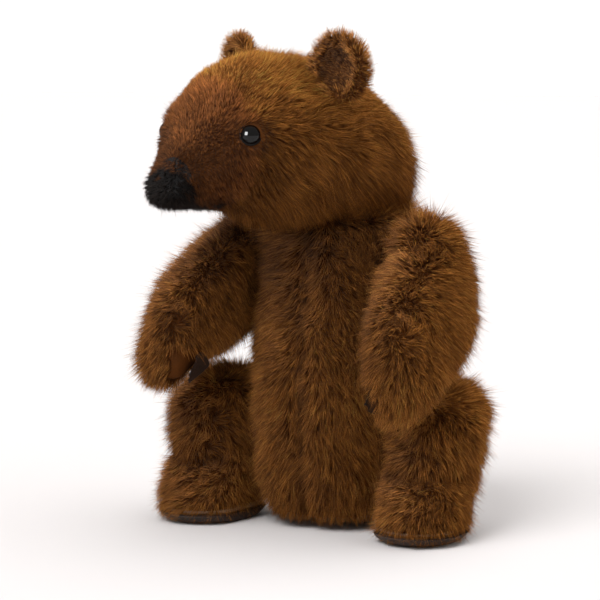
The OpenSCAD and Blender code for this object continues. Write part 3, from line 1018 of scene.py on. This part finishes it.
@dataclass
class Arm(Body):
    """One arm with its palm pad."""

    side: Side = Side.LEFT

    def faces(self) -> list[JointFace]:
        """Return the shoulder's face."""
        return [self.joint(f"shoulder_{self.side.word}", f"shoulder_disc_arm_{self.side.word}")]

    def comb(self, at: Array, facing: Array) -> Array:
        """Lay the pile down the arm, forwards over the forearm, round the dimple."""
        way = np.tile([0.0, -0.35, -1.0], (len(at), 1))
        way[:, 1] -= 0.45 * smooth_step(0.15, 0.11, at[:, 2])
        return self.swirl(at, facing, way)

    def grade(self, at: Array, facing: Array) -> tuple[Array, Array, Array]:
        """Leave the joint's face and the pad bare, paint shade in the dimple and on the side towards the
        belly.
        """
        # painted shade in the dimple's hollow
        tone = 1 - 0.3 * self.shade(at)
        inner = -facing[:, 0] * self.side.value
        # painted shade on the side that faces the belly, between arm and body
        tone *= 1 - 0.3 * smooth_step(0.3, 0.9, inner)
        reach = 1 - 0.35 * self.shade(at)
        reach += 0.2 * smooth_step(0.165, 0.195, at[:, 2])
        pad = node_centre(f"palm_pad_{self.side.word}")
        low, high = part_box(f"palm_pad_{self.side.word}")
        reaches = (np.array(high) - np.array(low)) / 2 + 2.5 * MM
        in_box = np.all(np.abs(at - pad) < reaches, axis=1)
        return reach, tone, ~self.bare(at) & ~(in_box & (inner > 0.2))

    def build(self) -> None:
        """Make the arm's pieces and let them ride on the arm."""
        word = self.side.word
        body = f"arm_{word}"
        form = SoftForm(f"arm_backing_{word}", (f"arm_skin_{word}", f"arm_stuffing_{word}",
                                                f"palm_pad_{word}"))
        form.build(self.faces(), self.press)
        self.dress(form.obj, body, "body_plush", (f"arm_skin_{word}",), BACKING)
        self.dress(form.filling(), body, "stuffing", (f"arm_stuffing_{word}",), FIBRE, 1.0)
        pad = SoftForm(f"palm_leather_{word}", (f"palm_pad_{word}",), voxel=1.5 * MM, inset=0.6 * MM,
                       swell=0)
        pad.build([])
        self.dress(pad.obj, body, "pad_leather", (f"palm_pad_{word}",), LEATHER, 1.0)
        coat = Coat(f"arm_pile_{word}", BODY_PILE, PILE, 42 + self.side.value, self.comb, self.grade)
        self.cover(form, coat, body, "body_plush")


@dataclass
class Leg(Body):
    """One leg with its leather sole."""

    side: Side = Side.LEFT
    toe_turn: float = math.radians(20)
    ankle: float = 42 * MM

    def faces(self) -> list[JointFace]:
        """Return the hip's face."""
        return [self.joint(f"hip_{self.side.word}", f"hip_disc_leg_{self.side.word}")]

    def toes(self) -> Array:
        """Return the way the toes point."""
        return np.array([self.side.value * math.sin(self.toe_turn), -math.cos(self.toe_turn), 0.0])

    def shape(self, points: Array, normals: Array) -> Array:
        """Crease the ankle and pull the dimples in."""
        ahead = smooth_step(0.0, 0.6, normals @ self.toes())
        crease = 4.0 * MM * np.exp(-((points[:, 2] - self.ankle) / (7 * MM)) ** 2) * ahead
        return self.press(points - normals * crease[:, None], normals)

    def comb(self, at: Array, facing: Array) -> Array:
        """Lay the pile down the leg, out over the foot, round the dimples."""
        way = np.tile([0.0, 0.0, -1.0], (len(at), 1))
        way += self.toes() * (1.2 * smooth_step(55 * MM, 30 * MM, at[:, 2]))[:, None]
        return self.swirl(at, facing, way)

    def grade(self, at: Array, facing: Array) -> tuple[Array, Array, Array]:
        """Leave the joint's face and the sole bare, shorten the pile on the foot, paint shade in the dimples
        and the ankle's crease.
        """
        z = at[:, 2]
        reach = 0.88 + 0.12 * smooth_step(20 * MM, 50 * MM, z) - 0.25 * self.shade(at)
        reach += 0.35 * smooth_step(60 * MM, 90 * MM, z) * smooth_step(0.2, 0.8, facing[:, 1])
        # painted shade: the pile is darkened in the ankle's crease and in the dimples
        crease = np.exp(-((z - self.ankle) / (6 * MM)) ** 2) * smooth_step(0.0, 0.6, facing @ self.toes())
        tone = (1 - 0.25 * self.shade(at)) * (1 - 0.3 * crease)
        return reach, tone, ~self.bare(at) & (z > 7.5 * MM)

    def build(self) -> None:
        """Make the leg's pieces and let them ride on the leg."""
        word = self.side.word
        body = f"leg_{word}"
        form = SoftForm(f"leg_backing_{word}", (f"leg_skin_{word}", f"leg_stuffing_{word}",
                                                f"sole_pad_{word}", f"sole_board_{word}"))
        form.build(self.faces(), self.shape)
        self.dress(form.obj, body, "body_plush", (f"leg_skin_{word}",), BACKING)
        self.dress(form.filling(), body, "stuffing", (f"leg_stuffing_{word}",), FIBRE, 1.0)
        sole = SoftForm(f"sole_leather_{word}", (f"sole_pad_{word}",), voxel=1.6 * MM, inset=0.4 * MM,
                        rounding=4, swell=0)
        sole.build([])
        self.dress(sole.obj, body, "pad_leather", (f"sole_pad_{word}",), LEATHER, 1.0)
        coat = Coat(f"leg_pile_{word}", BODY_PILE, PILE, 52 + self.side.value, self.comb, self.grade)
        self.cover(form, coat, body, "body_plush")


@dataclass(frozen=True)
class Hardware:
    """The frame's own nodes that keep their shape and get a finish."""

    finishes: tuple[tuple[str, Finish], ...] = (
        ("eye_washer", PLASTIC), ("disc", HARDBOARD), ("board", HARDBOARD),
        ("washer", STEEL), ("bolt", STEEL), ("nut", STEEL))

    def dress(self, nodes: dict[str, bpy.types.Object]) -> None:
        """Give every hard node its material."""
        for name, obj in nodes.items():
            finish = next((f for word, f in self.finishes if word in name), None)
            if finish:
                obj.data.materials.clear()
                obj.data.materials.append(finish.material())


@dataclass
class Studio:
    """Pale floor, soft light and the camera."""

    azimuth: float = 28.0
    elevation: float = 6.0
    distance: float = 1.5
    frame_width: float = 0.387
    aim: tuple[float, float, float] = (0.0, 0.0, 0.150)
    aside: float = -26.4 * MM
    below: float = -7.9 * MM

    def ways(self, azimuth: float, elevation: float) -> Vector:
        """Return the way from the bear towards an azimuth and elevation."""
        a, e = math.radians(azimuth), math.radians(elevation)
        return Vector((math.sin(a) * math.cos(e), -math.cos(a) * math.cos(e), math.sin(e)))

    def camera(self) -> None:
        """Place the camera with a long lens."""
        data = bpy.data.cameras.new("camera")
        obj = bpy.data.objects.new("camera", data)
        bpy.context.scene.collection.objects.link(obj)
        bpy.context.scene.camera = obj
        back = self.ways(self.azimuth, self.elevation)
        right = Vector((-back.y, back.x, 0)).normalized()
        up = back.cross(right)
        at = Vector(self.aim) + right * self.aside + up * self.below
        obj.location = at + back * self.distance
        obj.rotation_euler = (-back).to_track_quat("-Z", "Y").to_euler()
        data.lens = data.sensor_width * self.distance / self.frame_width
        data.clip_start, data.clip_end = 0.05, 50

    def floor(self) -> None:
        """Lay a large pale floor."""
        bpy.ops.mesh.primitive_plane_add(size=30, location=(0, 0, 0))
        obj = bpy.context.object
        obj.name = "floor"
        made = bpy.data.materials.new("floor")
        made.use_nodes = True
        shader = made.node_tree.nodes["Principled BSDF"]
        shader.inputs["Base Color"].default_value = (0.67, 0.645, 0.645, 1)
        shader.inputs["Roughness"].default_value = 0.9
        shader.inputs["Specular IOR Level"].default_value = 0.1
        obj.data.materials.append(made)

    def sun(self, name: str, azimuth: float, elevation: float, spread: float, power: float) -> None:
        """Add one broad light from far away, its azimuth counted from the camera's."""
        data = bpy.data.lights.new(name, "SUN")
        data.angle = math.radians(spread)
        data.energy = power
        obj = bpy.data.objects.new(name, data)
        bpy.context.scene.collection.objects.link(obj)
        way = self.ways(self.azimuth + azimuth, elevation)
        obj.rotation_euler = (-way).to_track_quat("-Z", "Y").to_euler()
        obj.visible_camera = False
        obj.visible_glossy = False

    def window(self, azimuth: float, elevation: float, power: float) -> None:
        """Hang a small square light that only glosses show."""
        data = bpy.data.lights.new("window", "AREA")
        data.size = 0.8
        data.energy = power
        obj = bpy.data.objects.new("window", data)
        bpy.context.scene.collection.objects.link(obj)
        way = self.ways(self.azimuth + azimuth, elevation)
        obj.location = way * 1.6 + Vector(self.aim)
        obj.rotation_euler = (-way).to_track_quat("-Z", "Y").to_euler()
        obj.visible_camera = False
        obj.visible_diffuse = False

    def room(self) -> None:
        """Surround the bear with white, brighter to the eye than to the bear."""
        world = bpy.data.worlds.new("room")
        bpy.context.scene.world = world
        world.use_nodes = True
        tree = world.node_tree
        seen = tree.nodes["Background"]
        seen.inputs["Color"].default_value = (1, 1, 1, 1)
        seen.inputs["Strength"].default_value = 1.1
        felt = tree.nodes.new("ShaderNodeBackground")
        felt.inputs["Color"].default_value = (1, 0.97, 0.93, 1)
        felt.inputs["Strength"].default_value = 0.42
        ray = tree.nodes.new("ShaderNodeLightPath")
        mix = tree.nodes.new("ShaderNodeMixShader")
        tree.links.new(ray.outputs["Is Camera Ray"], mix.inputs["Fac"])
        tree.links.new(felt.outputs[0], mix.inputs[1])
        tree.links.new(seen.outputs[0], mix.inputs[2])
        tree.links.new(mix.outputs[0], tree.nodes["World Output"].inputs["Surface"])

    def build(self) -> None:
        """Set up camera, floor and lights."""
        self.camera()
        self.floor()
        self.sun("key", -38, 50, 35, 2.6)
        self.sun("top", 120, 72, 60, 1.6)
        self.sun("side", 60, 28, 50, 0.6)
        self.window(-46, 22, 60)
        self.room()
        bpy.context.scene.view_settings.view_transform = "Standard"


@dataclass
class Bear:
    """The whole bear, in the order it is built."""

    joints: list[dict]

    def bodies(self) -> list[Body]:
        """Return the six bodies."""
        return [Torso(self.joints), Head(self.joints),
                Arm(self.joints, (Dimple((88.2, -84.6, 135.7)),), Side.LEFT),
                Arm(self.joints, (Dimple((-62, -101, 135.0)),), Side.RIGHT),
                Leg(self.joints, (Dimple((62.9, -52.7, 60.5), depth=6 * MM),), Side.LEFT),
                Leg(self.joints, (Dimple((-64.8, -51.7, 72.0)), Dimple((-67.8, -57.0, 49.8))), Side.RIGHT)]

    def build(self, nodes: dict[str, bpy.types.Object]) -> None:
        """Build every body and dress the hardware."""
        for body in self.bodies():
            body.build()
        Hardware().dress(nodes)


def main() -> None:
    """Build the studio and the bear."""
    logging.basicConfig(level=logging.INFO, format="%(message)s")
    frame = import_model()
    Studio().build()
    Bear(frame["joints"]).build(frame["nodes"])


if __name__ == "__main__":
    main()
